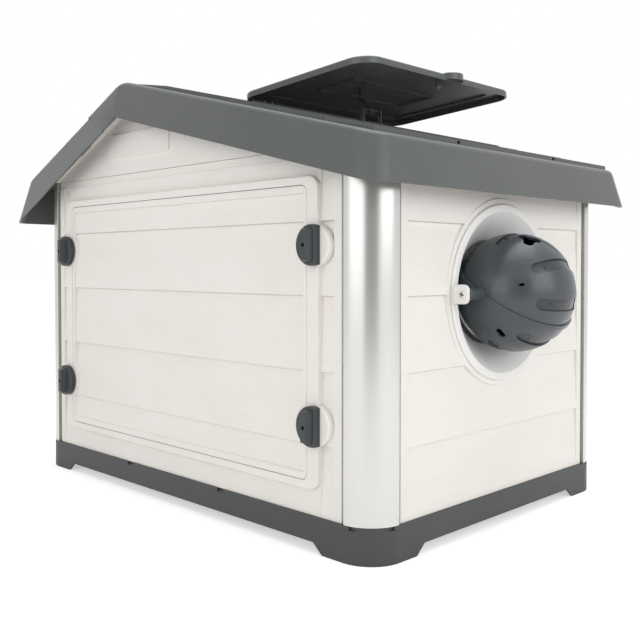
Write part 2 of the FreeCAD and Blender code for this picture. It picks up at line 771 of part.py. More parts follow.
def hinge_lugs():
    lugs = []
    offset = knuckle_length / 2 + seat_gap
    for y in (-hinge_y, hinge_y):
        for side in (-1, 1):
            y0, y1 = sorted((y + side * offset, y + side * (offset + lug_thickness)))
            lug = box(hinge_u - lug_radius, hinge_u + lug_radius, y0, y1, -1, hinge_n)
            lug = lug.fuse(cylinder_y(lug_radius, y0, y1, hinge_u, hinge_n))
            lugs.append(lug)
    reach = offset + lug_thickness + 1
    bores = [cylinder_y(hinge_pin_radius, y - reach, y + reach, hinge_u, hinge_n)
             for y in (-hinge_y, hinge_y)]
    return Part.makeCompound(lugs).cut(bores)


def roof_screw_spots():
    x = seam_x + lap_width / 2
    n = V(-math.sin(left_slope), 0, math.cos(left_slope))
    return [(V(x, y, roof_top(x)), n) for y in roof_screw_rows]


def roof_pieces():
    whole = roof_block(0)
    high = ridge_z + fascia_flare
    deep = roof_half_depth + 2 * fascia_flare
    right = whole.cut(roof_block(roof_thickness)).common(ridge_piece_region(0))
    left = roof_block(seam_step).common(whole).cut(roof_block(seam_step + roof_thickness))
    left = left.cut(ridge_piece_region(seam_gap))
    inner = half_width - wall_thickness / 2
    rib_y = half_depth - wall_thickness / 2
    for side in (-1, 1):
        y0, y1 = side * rib_y - rib_thickness / 2, side * rib_y + rib_thickness / 2
        right = right.fuse(prism_y(rib_outline(seam_x + lap_width + 1, inner), y0, y1))
        left = left.fuse(prism_y(rib_outline(-inner, seam_x - seam_gap - 1), y0, y1))
    level = rounded_prism(hinge_u - level_behind, curb_u1 + level_margin, -curb_y - level_margin,
                          curb_y + level_margin, 0, 4 * tile_rise, level_margin)
    rows = [tile_row(x, tile_pitch, right_slope, 0) for x in tile_steps]
    right = right.fuse(rows).cut(step_holes()).cut(in_slope(level))
    right = right.fuse(in_slope(hatch_curb())).cut(in_slope(hatch_hole())).fuse(in_slope(hinge_lugs()))
    left_pitch = (eave_half_width - left_row_inset + seam_x) / left_tile_count
    left = left.fuse([tile_row(seam_x - (k + 1) * left_pitch, left_pitch, left_slope, seam_step)
                      for k in range(left_tile_count)])
    lap_core = roof_block(roof_thickness + seat_gap + lap_thickness)
    lap = roof_block(roof_thickness + seat_gap).cut(lap_core)
    lap = lap.common(box(seam_x - lap_hold, seam_x + lap_width, -deep, deep, 0, high)).common(whole)
    neck = roof_block(roof_thickness - 1).cut(lap_core)
    neck = neck.common(box(seam_x - lap_hold, seam_x - seam_gap, -deep, deep, 0, high)).common(whole)
    left = left.fuse([lap, neck])
    for spot, n in roof_screw_spots():
        bore = Part.makeCylinder(roof_screw_radius, roof_screw_length + 2, spot + n, n * -1)
        right = right.cut(bore)
        left = left.cut(bore)
    return right, left


def roof_screws():
    screws = []
    dome = roof_screw_head * 1.4
    for spot, n in roof_screw_spots():
        head = Part.makeCylinder(roof_screw_head, roof_screw_head_height, spot, n)
        head = head.common(Part.makeSphere(dome, spot + n * (roof_screw_head_height - dome)))
        shank = Part.makeCylinder(roof_screw_radius, roof_screw_length + 1, spot + n, n * -1)
        long, wide = roof_screw_head, roof_screw_head / 4
        cross = box(-long / 2, long / 2, -wide / 2, wide / 2, 0, long)
        cross = cross.fuse(box(-wide / 2, wide / 2, -long / 2, long / 2, 0, long))
        cross.rotate(V(0, 0, 0), V(0, 1, 0), -math.degrees(left_slope))
        cross.translate(spot + n * (roof_screw_head_height / 2))
        screws.append(head.fuse(shank).cut(cross))
    return Part.makeCompound(screws)


# ---------------------------------------------------------------- hatch lid and stay

def lid_closed_to_open(shape):
    hinge = V(ridge_x, 0, ridge_z)
    u = V(math.cos(right_slope), 0, -math.sin(right_slope))
    n = V(math.sin(right_slope), 0, math.cos(right_slope))
    axis_point = hinge + u * hinge_u + n * hinge_n
    turned = shape.copy()
    turned.rotate(axis_point, V(0, 1, 0), -lid_open_angle)
    return turned


def hatch_lid():
    u0 = hinge_u - lid_back
    u1 = hinge_u + lid_length
    w = lid_half_width
    outer = rounded_prism(u0, u1, -w, w, lid_skirt_n, lid_top_n, lid_corner)
    front_u = [e for e in outer.Edges if e.BoundBox.ZMin > lid_top_n - 0.01]
    outer = outer.makeFillet(lid_edge_round, front_u)
    m = field_margin
    raised = rounded_prism(u0 + m, u1 - m, m - w, w - m, lid_top_n - 1, lid_top_n + field_rise, field_corner)
    top_edges = [e for e in raised.Edges if e.BoundBox.ZMin > lid_top_n + field_rise - 0.01]
    raised = raised.makeChamfer(field_rise - 0.5, top_edges)
    tab = Part.makeCylinder(finger_tab_radius, finger_tab_thickness,
                            V(u1 + finger_tab_reach - finger_tab_radius, finger_tab_y, finger_tab_low))
    tab = tab.common(box(u1 - lid_skirt, u1 + finger_tab_radius, -lid_half_width, lid_half_width,
                         0, lid_top_n + field_rise))
    body = outer.fuse([raised, tab])
    s = lid_skirt
    hollow = rounded_prism(u0 + s, u1 - s, s - w, w - s, -lid_top_n, lid_under, lid_corner - s)
    i = m + field_inner
    pocket_under = lid_under + field_rise
    pocket = rounded_prism(u0 + i, u1 - i, i - w, w - i, 0, pocket_under, field_corner - field_inner)
    body = body.cut(hollow).cut(pocket)
    extras = []
    for y in (-hinge_y, hinge_y):
        half = knuckle_length / 2
        extras.append(cylinder_y(knuckle_radius, y - half, y + half, hinge_u, hinge_n))
        extras.append(box(hinge_u - lug_radius, hinge_u + lug_radius, y - half, y + half,
                          hinge_n, lid_under + 1))
        clear = half + lug_thickness + 3 * seat_gap
        body = body.cut(box(u0 - 1, hinge_u + knuckle_radius, y - clear, y + clear, 0, lid_under))
    ear_u = hinge_u + stay_u
    ear_n = lid_under - stay_drop
    for side in (-1, 1):
        gap = link_width / 2 + seat_gap
        y0, y1 = sorted((stay_y + side * gap, stay_y + side * (gap + stay_ear_thickness)))
        ear = box(ear_u - stay_ear_radius, ear_u + stay_ear_radius, y0, y1, ear_n, pocket_under + 1)
        extras.append(ear.fuse(cylinder_y(stay_ear_radius, y0, y1, ear_u, ear_n)))
    f0 = hinge_u + frame_start
    frame = box(f0, f0 + frame_length, frame_y_low, frame_y_high,
                pocket_under - frame_depth, pocket_under + 1)
    frame = frame.cut(box(f0 + frame_wall, f0 + frame_length - frame_wall, frame_y_low + frame_wall,
                          frame_y_high - frame_wall, 0, pocket_under))
    c = link_width
    extras.append(frame.cut(box(ear_u - c, ear_u + c, stay_y - c, stay_y + c, 0, pocket_under)))
    tab_u = u1 - snap_tab_inset
    tab_y = snap_tab_width / 2
    tip = lid_under - snap_tab_length
    snap = box(tab_u, tab_u + snap_tab_thickness, -tab_y, tab_y, tip, lid_under + 1)
    hook = prism_y([(tab_u + 1, tip), (tab_u + 2 * snap_tab_thickness, tip + 2 * snap_tab_thickness),
                    (tab_u + 1, tip + 3 * snap_tab_thickness)], -tab_y, tab_y)
    extras += [snap, hook]
    body = body.fuse(extras)
    for y in (-hinge_y, hinge_y):
        body = body.cut(cylinder_y(hinge_pin_radius + pin_clearance, y - knuckle_length, y + knuckle_length,
                                   hinge_u, hinge_n))
    body = body.cut(cylinder_y(stay_pin_radius, stay_y - link_width, stay_y + link_width, ear_u, ear_n))
    return lid_closed_to_open(in_slope(body))


def hinge_pins():
    half = knuckle_length / 2 + lug_thickness + seat_gap
    pins = [cylinder_y(hinge_pin_radius, y - half, y + half, hinge_u, hinge_n) for y in (-hinge_y, hinge_y)]
    return in_slope(Part.makeCompound(pins))


def stay_pivot():
    """Where the stay hangs from the lid, in the house's frame, with the lid as shown."""
    point = Part.Vertex(hinge_u + stay_u, stay_y, lid_under - stay_drop)
    return lid_closed_to_open(in_slope(point)).Point


def stay_pin():
    p = stay_pivot()
    half = link_width / 2 + seat_gap + stay_ear_thickness
    return cylinder_y(stay_pin_radius, p.y - half, p.y + half, p.x, p.z)


def link_end():
    p = stay_pivot()
    angle = math.radians(link_angle)
    return V(p.x + link_length * math.cos(angle), p.y, p.z - link_length * math.sin(angle))


def stay_link():
    """Loop link: an eye on the lid's pin and a long slot, with an eye for the fork's bar."""
    p = stay_pivot()
    half = link_width / 2
    t = link_thickness / 2
    eye = fork_bar_radius + link_eye_wall
    web = eye + link_eye_wall / 2
    body = cylinder_y(eye, -half, half, 0, 0).fuse(cylinder_y(eye, -half, half, link_length, 0))
    body = body.fuse(box(0, link_length, -half, half, -t, t))
    body = body.cut(box(web, link_length - web, -link_slot / 2, link_slot / 2, -t - 1, t + 1))
    body = body.cut(cylinder_y(stay_pin_radius + pin_clearance, -half - 1, half + 1, 0, 0))
    body = body.cut(cylinder_y(fork_bar_radius + pin_clearance, -half - 1, half + 1, link_length, 0))
    body.rotate(V(0, 0, 0), V(0, 1, 0), link_angle)
    body.translate(p)
    return body


def stay_fork():
    """Bail with two slotted legs that hang from the link."""
    k = link_end()
    bar = cylinder_y(fork_bar_radius, -fork_span / 2, fork_span / 2, 0, 0)
    pieces = [bar]
    for side in (-1, 1):
        y0, y1 = sorted((side * (fork_span / 2 - fork_leg_thickness), side * fork_span / 2))
        leg = box(-fork_leg_width / 2, fork_leg_width / 2, y0, y1, -fork_height, 0)
        leg = leg.fuse(cylinder_y(fork_leg_width / 2, y0, y1, 0, 0))
        leg = leg.cut(box(-fork_slot / 2, fork_slot / 2, y0 - 1, y1 + 1, fork_foot_height - fork_height,
                          -fork_leg_width))
        pieces.append(leg)
    body = pieces[0].fuse(pieces[1:])
    body.translate(k)
    return body


# ---------------------------------------------------------------- feeder

def feeder_ring():
    """Ring on the wall and the funnel that leads in to the ball, turned about the X axis."""
    x_face = half_width
    x_front = x_face + ring_proud
    x_throat = x_face - throat_depth
    t = funnel_wall
    cone = (mouth_radius - throat_radius) / (x_front - ring_edge - x_throat)
    x_back = x_face - wall_thickness
    outside = throat_radius + t * math.hypot(1, cone)
    outline = [(x_face + seat_gap, ring_outer), (x_front - ring_edge, ring_outer),
               (x_front, ring_outer - ring_edge), (x_front, mouth_radius + ring_edge),
               (x_front - ring_edge, mouth_radius), (x_throat, throat_radius),
               (x_throat - throat_lip, throat_radius), (x_throat - throat_lip, throat_radius + t),
               (x_throat + (throat_radius + t - outside) / cone, throat_radius + t),
               (x_back, outside + cone * (x_back - x_throat)), (x_back, sleeve_radius),
               (x_face + seat_gap, sleeve_radius)]
    points = [V(x, 0, feeder_z + r) for x, r in outline]
    face = Part.Face(Part.makePolygon(points + [points[0]]))
    return face.revolve(V(0, 0, feeder_z), V(1, 0, 0), 360)


def feeder_bracket():
    """Front lug that carries one end of the ball's axle."""
    y0, y1 = -lug_y_high, -lug_y_low
    foot_x = half_width + ring_proud + seat_gap
    end_x = ball_x + lug_reach
    low, high = feeder_z - lug_half_height, feeder_z + lug_half_height
    lug = rounded_slab_y(foot_x - 2 * lug_corner, end_x, low, high, y0, y1, lug_corner)
    lug = lug.common(box(foot_x, end_x, y0, y1, low, high))
    edges = [e for e in lug.removeSplitter().Edges if e.BoundBox.YMax < y0 + 0.01]
    lug = lug.makeFillet(lug_edge, edges)
    return lug.cut(cylinder_y(axle_radius, y0 - 1, y1 + 1, ball_x, feeder_z))


def axle_screw():
    y_head = -lug_y_high
    dome = screw_head_radius * 1.6
    head = Part.makeSphere(dome, V(ball_x, y_head - screw_head_height + dome, feeder_z))
    head = head.common(cylinder_y(screw_head_radius, y_head - screw_head_height, y_head, ball_x, feeder_z))
    shank = cylinder_y(axle_radius, y_head, screw_reach - hub_end, ball_x, feeder_z)
    screw = head.fuse(shank)
    for turn in (cross_turn, cross_turn + quarter_turn):
        bar = box(-cross_length / 2, cross_length / 2, -1, cross_depth, -cross_width / 2, cross_width / 2)
        bar.rotate(V(0, 0, 0), V(0, 1, 0), turn)
        bar.translate(V(ball_x, y_head - screw_head_height, feeder_z))
        screw = screw.cut(bar)
    return screw


def on_ball(shape, angle, latitude):
    """Moves a shape that stands along +X onto the ball's surface at an angle about its axle."""
    placed = shape.copy()
    placed.rotate(V(0, 0, 0), V(0, 0, 1), latitude)
    placed.rotate(V(0, 0, 0), V(0, 1, 0), -angle)
    return placed


def stadium(length, width, start, end):
    """Long round-ended bar along X with its length across Y."""
    half = (length - width) / 2
    bar = box(start, end, -half, half, -width / 2, width / 2)
    for y in (-half, half):
        bar = bar.fuse(Part.makeCylinder(width / 2, end - start, V(start, y, 0), V(1, 0, 0)))
    return bar


def slot_wedge():
    """Three-sided point on the floor of a ball slot, standing along +X."""
    floor = ball_radius - slot_depth - 1
    half = wedge_size / 2
    tip = V(ball_radius - 0.4, 0, 0)
    foot = [V(floor, -half, -half), V(floor, -half, half), V(floor, half, 0)]
    faces = [Part.Face(Part.makePolygon(foot + [foot[0]]))]
    for k in range(3):
        side = [foot[k], foot[(k + 1) % 3], tip, foot[k]]
        faces.append(Part.Face(Part.makePolygon(side)))
    return Part.Solid(Part.Shell(faces))


def ball_shell_half(sign):
    """One shell in the ball's own frame: axle along Y, joint in the plane z = 0."""
    r = ball_radius
    inner = r - ball_shell
    shell = Part.makeSphere(r).cut(Part.makeSphere(inner))
    low, high = (shell_gap / 2, 2 * r) if sign > 0 else (-2 * r, -shell_gap / 2)
    half_space = box(-2 * r, 2 * r, -2 * r, 2 * r, low, high)
    rim_z = shell_gap / 2 if sign > 0 else -shell_gap / 2 - seam_rim_height
    rim = Part.makeCylinder(r + seam_rim_reach, seam_rim_height, V(0, 0, rim_z)).cut(
        Part.makeCylinder(inner + 1, seam_rim_height, V(0, 0, rim_z)))
    body = shell.common(half_space).fuse(rim)
    floor = Part.makeSphere(r - slot_depth)
    length = 2 * r * math.sin(math.radians(slot_half_latitude))
    for angle in slot_angles:
        slot = on_ball(stadium(length, slot_width, r / 2, 2 * r), sign * angle, 0)
        body = body.cut(slot.cut(floor))
        body = body.fuse(on_ball(slot_wedge(), sign * angle, wedge_latitude))
    return body


def ball_holes_upper():
    """Three-lobed filling hole and two small drain slots."""
    start = 0.8 * ball_radius
    reach = ball_radius - start + ball_shell
    hole = Part.makeCylinder(lobe_offset, reach, V(start, 0, 0), V(1, 0, 0))
    for k in range(3):
        a = math.radians(90 + 120 * k)
        y, z = lobe_offset * math.cos(a), lobe_offset * math.sin(a)
        hole = hole.fuse(Part.makeCylinder(lobe_radius, reach, V(start, y, z), V(1, 0, 0)))
    cutters = [on_ball(hole, lobe_angle, lobe_latitude)]
    for angle, latitude, length, width in small_slots:
        cutters.append(on_ball(stadium(length, width, start, 2 * ball_radius), angle, latitude))
    return cutters


def ball_hubs():
    """Hub at each end, kept on the lower shell."""
    hubs = []
    for side in (-1, 1):
        y0, y1 = sorted((side * (ball_radius - hub_root), side * hub_end))
        hub = cylinder_y(hub_radius, y0, y1, 0, 0)
        rim = [e for e in hub.Edges if abs(abs(e.CenterOfMass.y) - hub_end) < 0.01]
        hubs.append(hub.makeFillet(hub_edge, rim))
    return hubs


def hub_bores():
    bore = cylinder_y(axle_radius + pin_clearance, -hub_end - 1, screw_reach + 2 - hub_end, 0, 0)
    return [bore, mirrored_y(bore)]


def place_ball(shape):
    shape.rotate(V(0, 0, 0), V(0, 1, 0), seam_angle)
    shape.translate(V(ball_x, 0, feeder_z))
    return shape


def ball_upper_shell():
    body = ball_shell_half(1)
    sockets = []
    for side in (-1, 1):
        y0, y1 = sorted((side * (ball_radius - 3 * hub_root), side * (hub_end + 1)))
        sockets.append(cylinder_y(hub_radius + shell_gap, y0, y1, 0, 0))
    return place_ball(body.cut(sockets).cut(ball_holes_upper()))


def ball_lower_shell():
    body = ball_shell_half(-1).fuse(ball_hubs())
    angle, latitude, length, width = treat_slot
    slot = on_ball(stadium(length, width, 0.8 * ball_radius, 2 * ball_radius), angle, latitude)
    return place_ball(body.cut(hub_bores()).cut(slot))


# ---------------------------------------------------------------- write every piece

os.makedirs("parts", exist_ok=True)
save("base_tray", base_tray())
save("floor_panel", floor_panel())
save("front_wall", front_wall())
save("rear_wall", rear_wall())
save("right_wall", side_wall(1))
save("left_wall", side_wall(-1))
front_gable = gable_panel()
save("front_gable", front_gable)
save("rear_gable", mirrored_y(front_gable))
post = corner_post()
save("post_rear_right", post)
save("post_rear_left", mirrored_x(post))
save("post_front_right", mirrored_y(post))
save("post_front_left", mirrored_x(mirrored_y(post)))
roof_right, roof_left = roof_pieces()
save("roof_right", roof_right)
save("roof_left", roof_left)
save("roof_screws", roof_screws())
save("door_panel", door_panel())
save("door_liner", door_liner())
save("button_pins", button_pins())
for side_name, side_sign in (("left", -1), ("right", 1)):
    for level_name, level in zip(("lower", "upper"), button_heights):
        save("turn_button_" + level_name + "_" + side_name, turn_button(side_sign, level))
save("hatch_lid", hatch_lid())
save("hatch_hinge_pins", hinge_pins())
save("stay_pin", stay_pin())
save("stay_link", stay_link())
save("stay_fork", stay_fork())
save("feeder_ring", feeder_ring())
bracket = feeder_bracket()
save("feeder_bracket_front", bracket)
save("feeder_bracket_rear", mirrored_y(bracket))
screw = axle_screw()
save("axle_screws", Part.makeCompound([screw, mirrored_y(screw)]))
save("ball_upper_shell", ball_upper_shell())
save("ball_lower_shell", ball_lower_shell())
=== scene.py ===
import math

import bpy
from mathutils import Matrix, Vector

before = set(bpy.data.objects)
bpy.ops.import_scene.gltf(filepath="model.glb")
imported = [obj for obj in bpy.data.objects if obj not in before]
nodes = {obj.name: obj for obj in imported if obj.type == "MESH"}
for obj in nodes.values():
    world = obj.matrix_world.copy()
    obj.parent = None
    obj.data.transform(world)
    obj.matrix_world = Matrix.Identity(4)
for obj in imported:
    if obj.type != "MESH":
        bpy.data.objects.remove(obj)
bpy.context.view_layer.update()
print("house loaded:", len(nodes), "pieces")


# shader graph helpers

def screenColor(red, green, blue):
    # 0 to 255 as seen on screen, turned into the light values a shader takes
    def toLight(value):
        value = value / 255
        return value / 12.92 if value <= 0.04045 else ((value + 0.055) / 1.055) ** 2.4
    return (toLight(red), toLight(green), toLight(blue), 1.0)


class Graph:
    # one material and short calls for its nodes
    def __init__(self, name):
        self.material = bpy.data.materials.new(name)
        self.material.use_nodes = True
        self.tree = self.material.node_tree
        self.tree.nodes.clear()
        self.output = self.tree.nodes.new("ShaderNodeOutputMaterial")

    def add(self, kind, inputs=None, **settings):
        node = self.tree.nodes.new("ShaderNode" + kind)
        for key, value in settings.items():
            setattr(node, key, value)
        for key, value in (inputs or {}).items():
            if isinstance(value, bpy.types.NodeSocket):
                self.tree.links.new(value, node.inputs[key])
            else:
                node.inputs[key].default_value = value
        return node

    def sum(self, operation, first, second=None):
        inputs = {0: first} if second is None else {0: first, 1: second}
        return self.add("Math", inputs, operation=operation).outputs[0]

    def place(self):
        return self.add("TexCoord").outputs["Object"]

    def noise(self, vector, scale, detail=2.0, roughness=0.5):
        inputs = {"Vector": vector, "Scale": scale, "Detail": detail, "Roughness": roughness}
        return self.add("TexNoise", inputs).outputs["Fac"]

    def stretch(self, vector, scale):
        return self.add("Mapping", {"Vector": vector, "Scale": scale}).outputs["Vector"]

    def between(self, value, low, high, newLow=0.0, newHigh=1.0):
        inputs = {"Value": value, "From Min": low, "From Max": high, "To Min": newLow, "To Max": newHigh}
        return self.add("MapRange", inputs).outputs["Result"]

    def mixColors(self, share, first, second):
        node = self.add("Mix", data_type="RGBA")
        for index, value in ((0, share), (6, first), (7, second)):
            if isinstance(value, bpy.types.NodeSocket):
                self.tree.links.new(value, node.inputs[index])
            else:
                node.inputs[index].default_value = value
        return node.outputs[2]

    def bump(self, height, distance, strength=1.0, under=None):
        inputs = {"Height": height, "Distance": distance, "Strength": strength}
        if under is not None:
            inputs["Normal"] = under
        return self.add("Bump", inputs).outputs["Normal"]

    def finish(self, inputs):
        shader = self.add("BsdfPrincipled", inputs)
        self.tree.links.new(shader.outputs[0], self.output.inputs["Surface"])
        return self.material


# off-white moulded plastic with an embossed wood grain, for walls, gables and the front panel
wallLook = {
    "color": (235, 232, 227),
    "valleyColor": (222, 217, 209),
    "firstLap": 0.0546, "lapPitch": 0.1175, "boardShift": 3.71,   # boards, for the grain alone
    "lineSpacing": 0.0046, "waveHeight": 10.4, "waveSharpness": 2.2,
    "broadScale": (3.2, 1.0, 11.0), "patchScale": (9.0, 1.0, 26.0), "patchFrom": 0.38, "patchFull": 0.62,
    "fibreScale": (60.0, 1.0, 900.0), "fibreShare": 0.55,
    "embossDepth": 0.00017, "embossStrength": 0.75,
    "valleyShare": 0.4, "cloudShare": 0.18,
    "laps": (0.172, 0.2882, 0.4073, 0.5245), "lapMargin": 0.0001,   # heights of the modelled joints
    # painted shadow line under each board's lower edge: colour, strength and width
    "paintedShadowColor": (168, 156, 142), "paintedShadowShare": 0.85, "paintedShadowWidth": 0.0017,
    "leanFrom": 0.02, "leanFull": 0.035,
    "roughness": 0.5, "roughRise": 0.12,
}


def woodGrain(graph, look):
    # height of the grain lines, shifted from board to board so that no line runs across a joint
    parts = graph.add("SeparateXYZ", {"Vector": graph.place()})
    x, y, z = parts.outputs
    along = graph.sum("ADD", x, y)
    aboveFirst = graph.sum("SUBTRACT", z, look["firstLap"])
    board = graph.sum("FLOOR", graph.sum("DIVIDE", aboveFirst, look["lapPitch"]))
    shift = graph.sum("MULTIPLY", board, look["boardShift"])
    flow = graph.add("CombineXYZ", {"X": graph.sum("ADD", along, shift), "Y": shift, "Z": z}).outputs[0]
    broad = graph.noise(graph.stretch(flow, look["broadScale"]), 1.0, 1.0, 0.4)
    lines = graph.sum("DIVIDE", z, look["lineSpacing"])
    waves = graph.sum("ADD", lines, graph.sum("MULTIPLY", broad, look["waveHeight"]))
    wave = graph.sum("SINE", graph.sum("MULTIPLY", waves, 2 * math.pi))
    wave = graph.sum("POWER", graph.between(wave, -1, 1), look["waveSharpness"])
    patch = graph.noise(graph.stretch(flow, look["patchScale"]), 1.0, 2.0)
    patch = graph.between(patch, look["patchFrom"], look["patchFull"])
    fibre = graph.noise(graph.stretch(flow, look["fibreScale"]), 1.0, 3.0, 0.6)
    return graph.sum("ADD", graph.sum("MULTIPLY", wave, patch),
                     graph.sum("MULTIPLY", fibre, look["fibreShare"]))


def boardPaintedShadow(graph, look):
    # painted shadow: a thin dark line on a leaning board just under the next board's lower edge, where that
    # board shades it
    z = graph.add("SeparateXYZ", {"Vector": graph.place()}).outputs[2]
    lean = graph.add("SeparateXYZ", {"Vector": graph.add("NewGeometry").outputs["True Normal"]}).outputs[2]
    line = 0.0
    for lap in look["laps"]:
        below = graph.sum("SUBTRACT", lap, z)
        band = graph.between(below, 0.0, look["paintedShadowWidth"], 1.0, 0.0)
        near = graph.sum("MULTIPLY", band, graph.sum("GREATER_THAN", below, -look["lapMargin"]))
        line = graph.sum("MAXIMUM", near, line)
    leaning = graph.between(lean, look["leanFrom"], look["leanFull"])
    return graph.sum("MULTIPLY", graph.sum("MULTIPLY", line, leaning), look["paintedShadowShare"])


def makeWallPlastic():
    look = wallLook
    graph = Graph("wallPlastic")
    height = woodGrain(graph, look)
    color, valley = screenColor(*look["color"]), screenColor(*look["valleyColor"])
    shade = graph.mixColors(graph.between(height, 0.35, 1.4, 0.0, look["valleyShare"]), color, valley)
    cloud = graph.between(graph.noise(graph.place(), 5.0, 2.0), 0.3, 0.7, 0.0, look["cloudShare"])
    shade = graph.mixColors(cloud, shade, valley)
    # painted shadow under each board lap
    shade = graph.mixColors(boardPaintedShadow(graph, look), shade, screenColor(*look["paintedShadowColor"]))
    normal = graph.bump(graph.sum("MULTIPLY", height, -1.0), look["embossDepth"], look["embossStrength"])
    rough = graph.between(height, 0.0, 1.4, look["roughness"], look["roughness"] + look["roughRise"])
    return graph.finish({"Base Color": shade, "Roughness": rough, "Normal": normal})


# silver-grey satin plastic of the corner posts
postLook = {
    "color": (205, 206, 202), "shade": (198, 199, 195), "metallic": 0.64, "roughness": 0.24,
    "flake": 1400.0, "flakeDepth": 0.00002,
}


def makePostPlastic():
    look = postLook
    graph = Graph("postSilver")
    flakes = graph.noise(graph.place(), look["flake"], 1.0)
    color = graph.mixColors(graph.between(flakes, 0.35, 0.65), screenColor(*look["color"]),
                            screenColor(*look["shade"]))
    rough = graph.between(flakes, 0.3, 0.7, look["roughness"] - 0.02, look["roughness"] + 0.03)
    normal = graph.bump(flakes, look["flakeDepth"])
    return graph.finish({"Base Color": color, "Metallic": look["metallic"], "Roughness": rough,
                         "Normal": normal})


# grey plastics: roof and lid, tray, buttons; each with its own shade, speckle and pebble
greyLooks = {
    "roofPlastic": {"color": (88, 92, 90), "speck": (97, 101, 99), "dark": (79, 83, 81),
                    "roughness": 0.29, "pebble": 520.0, "pebbleDepth": 0.00012, "speckSize": 260.0},
    "trayPlastic": {"color": (70, 72, 73), "speck": (78, 80, 81), "dark": (62, 64, 65),
                    "roughness": 0.46, "pebble": 620.0, "pebbleDepth": 0.00018, "speckSize": 300.0},
    "floorPlastic": {"color": (128, 131, 132), "speck": (140, 143, 144), "dark": (108, 111, 112),
                     "roughness": 0.52, "pebble": 560.0, "pebbleDepth": 0.0002, "speckSize": 280.0},
    "buttonPlastic": {"color": (61, 65, 67), "speck": (68, 72, 74), "dark": (52, 56, 58),
                      "roughness": 0.36, "pebble": 900.0, "pebbleDepth": 0.0001, "speckSize": 420.0},
    "stayPlastic": {"color": (62, 66, 67), "speck": (72, 76, 77), "dark": (48, 51, 52),
                    "roughness": 0.4, "pebble": 900.0, "pebbleDepth": 0.0001, "speckSize": 420.0},
}
# what the greys have in common: how strongly they mirror the studio, and how much the marks show
greyShared = {"sheen": 0.32, "cloudShare": 0.35, "speckShare": 0.55, "pitShare": 0.6, "pitFineness": 1.7}


def makeGreyPlastic(name):
    look = greyLooks[name]
    graph = Graph(name)
    place = graph.place()
    specks = graph.between(graph.noise(place, look["speckSize"], 2.0), 0.58, 0.72)
    pits = graph.between(graph.noise(place, look["speckSize"] * greyShared["pitFineness"], 1.0), 0.66, 0.74)
    cloud = graph.between(graph.noise(place, 7.0, 3.0), 0.35, 0.65, 0.0, greyShared["cloudShare"])
    specks = graph.sum("MULTIPLY", specks, greyShared["speckShare"])
    pits = graph.sum("MULTIPLY", pits, greyShared["pitShare"])
    color = graph.mixColors(cloud, screenColor(*look["color"]), screenColor(*look["dark"]))
    color = graph.mixColors(specks, color, screenColor(*look["speck"]))
    color = graph.mixColors(pits, color, screenColor(*look["dark"]))
    pebble = graph.noise(place, look["pebble"], 2.0, 0.6)
    rough = graph.between(pebble, 0.3, 0.7, look["roughness"] - 0.04, look["roughness"] + 0.08)
    normal = graph.bump(pebble, look["pebbleDepth"], 0.6)
    return graph.finish({"Base Color": color, "Roughness": rough, "Normal": normal,
                         "Specular IOR Level": greyShared["sheen"]})


# dark slate plastic of the treat ball, smoother and a little blue
ballLook = {
    # the recess colour is painted shade on the slots' floors
    "color": (66, 72, 77), "dark": (54, 59, 63), "recess": (44, 48, 53),
    "middle": (0.524, 0.0, 0.408), "recessFloor": 0.1, "radius": 0.103,
    "floorMargin": 0.0015, "rimMargin": 0.0004, "roughness": 0.3,
    "grain": 380.0, "grainDepth": 0.00006,
}


def makeBallPlastic():
    look = ballLook
    graph = Graph("ballPlastic")
    place = graph.place()
    cloud = graph.between(graph.noise(place, 12.0, 3.0), 0.35, 0.65, 0.0, 0.5)
    color = graph.mixColors(cloud, screenColor(*look["color"]), screenColor(*look["dark"]))
    # painted shade: the slots' floors are darker than the round outside
    away = graph.add("VectorMath", {0: place, 1: look["middle"]}, operation="DISTANCE").outputs["Value"]
    sunk = graph.between(away, look["recessFloor"], look["radius"] - look["rimMargin"], 1.0, 0.0)
    outer = graph.sum("GREATER_THAN", away, look["recessFloor"] - look["floorMargin"])
    inside = graph.sum("MULTIPLY", sunk, outer)
    color = graph.mixColors(inside, color, screenColor(*look["recess"]))
    grain = graph.noise(place, look["grain"], 2.0)
    rough = graph.between(graph.noise(place, 60.0, 3.0), 0.3, 0.7,
                          look["roughness"] - 0.03, look["roughness"] + 0.06)
    return graph.finish({"Base Color": color, "Roughness": rough,
                         "Normal": graph.bump(grain, look["grainDepth"], 0.5)})


# smooth white plastic of the feeder ring and its lugs
feederLook = {
    "color": (236, 236, 234), "shade": (222, 222, 219), "roughness": 0.36,
    "grain": 700.0, "grainDepth": 0.00005,
}


def makeFeederPlastic():
    look = feederLook
    graph = Graph("feederPlastic")
    place = graph.place()
    cloud = graph.between(graph.noise(place, 9.0, 2.0), 0.35, 0.65, 0.0, 0.5)
    color = graph.mixColors(cloud, screenColor(*look["color"]), screenColor(*look["shade"]))
    grain = graph.noise(place, look["grain"], 1.0)
    rough = graph.between(graph.noise(place, 45.0, 2.0), 0.3, 0.7,
                          look["roughness"] - 0.03, look["roughness"] + 0.05)
    return graph.finish({"Base Color": color, "Roughness": rough,
                         "Normal": graph.bump(grain, look["grainDepth"], 0.5)})


# pale caps of the ball's axle screws, with painted shade down in the cross recess
capLook = {"color": (226, 221, 208), "cross": (58, 54, 48), "crossReach": 0.0052, "crossDepth": 0.1577,
           "axis": (0.524, 0.408), "roughness": 0.34, "grain": 500.0, "grainDepth": 0.00003}


